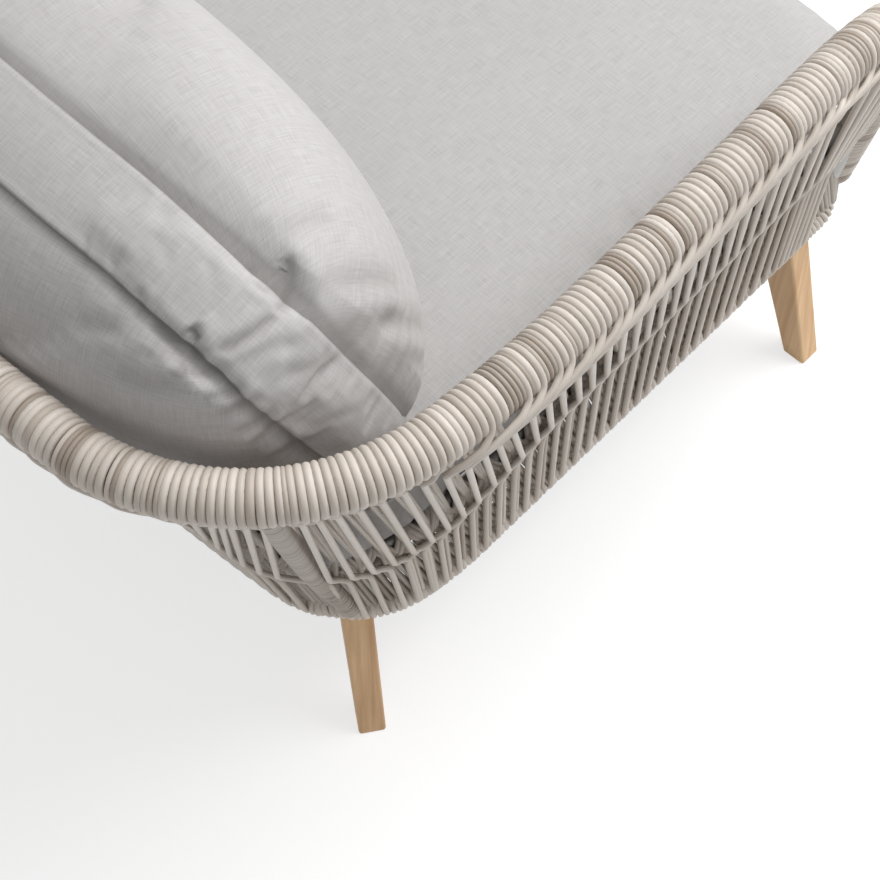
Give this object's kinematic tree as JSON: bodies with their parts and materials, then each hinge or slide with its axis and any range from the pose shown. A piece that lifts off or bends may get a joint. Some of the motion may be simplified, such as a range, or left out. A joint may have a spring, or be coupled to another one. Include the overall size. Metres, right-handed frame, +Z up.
{
  "type": "garden armchair",
  "caption": "Low garden armchair with a rounded frame of round resin strand, splayed wooden legs, and a loose seat cushion and back cushion.",
  "frame": {"origin": "floor level under the middle of the bounding box", "axes": "+Z up, the front faces -Y, +X towards the sitter's left"},
  "size_m": [0.8598, 0.8272, 0.6919],
  "materials": {
    "rail_strand": "satin resin strand, cream to taupe",
    "shade_strand": "satin resin strand, taupe",
    "wall_strand": "satin resin strand, cream",
    "leg_wood": "oiled hardwood with straight grain",
    "glide": "matt",
    "webbing": "woven webbing",
    "bolt_steel": "zinc plated",
    "seat_fabric": "light grey linen weave",
    "back_fabric": "light grey linen weave",
    "frame_metal": "powder coated tube"
  },
  "bodies": {
    "root": {"rail_tube": "frame_metal", "rail_wrap_back": "rail_strand", "rail_wrap_corner_left": "rail_strand", "rail_wrap_corner_right": "rail_strand", "rail_wrap_arm_left": "rail_strand", "rail_wrap_arm_right": "rail_strand", "rail_wrap_front_left": "rail_strand", "rail_wrap_front_right": "rail_strand", "base_ring": "frame_metal", "base_wrap": "shade_strand", "seat_ring": "frame_metal", "seat_braid": "shade_strand", "rear_post_left": "frame_metal", "rear_post_right": "frame_metal", "arm_post_left": "frame_metal", "arm_post_right": "frame_metal", "back_post": "frame_metal", "post_wraps": "shade_strand", "deck_bars": "frame_metal", "webbing_long": "webbing", "webbing_cross": "webbing", "leg_plates": "frame_metal", "leg_bolts": "bolt_steel", "leg_front_left": "leg_wood", "leg_front_right": "leg_wood", "leg_rear_left": "leg_wood", "leg_rear_right": "leg_wood", "glides": "glide", "rail_bundle": "wall_strand", "seat_bundle": "wall_strand", "arm_strands_left": "wall_strand", "arm_strands_right": "wall_strand", "corner_strands_left": "wall_strand", "corner_strands_right": "wall_strand", "back_strands": "wall_strand", "arm_skirt_left": "wall_strand", "arm_skirt_right": "wall_strand", "corner_skirt_left": "wall_strand", "corner_skirt_right": "wall_strand", "back_skirt": "wall_strand", "front_skirt": "wall_strand", "inner_strands_left": "wall_strand", "inner_strands_right": "wall_strand", "inner_strands_back": "wall_strand"},
    "seat_cushion": {"seat_cushion": "seat_fabric"},
    "back_cushion": {"back_cushion": "back_fabric"}
  },
  "joints": [
    {"name": "seat_cushion_lift", "type": "slide", "parent": "root", "child": "seat_cushion", "axis": [0, 0, 1], "range_m": [0, 0.34]},
    {"name": "back_cushion_lift", "type": "slide", "parent": "seat_cushion", "child": "back_cushion", "axis": [0, 0, 1], "range_m": [0, 0.24]}
  ]
}
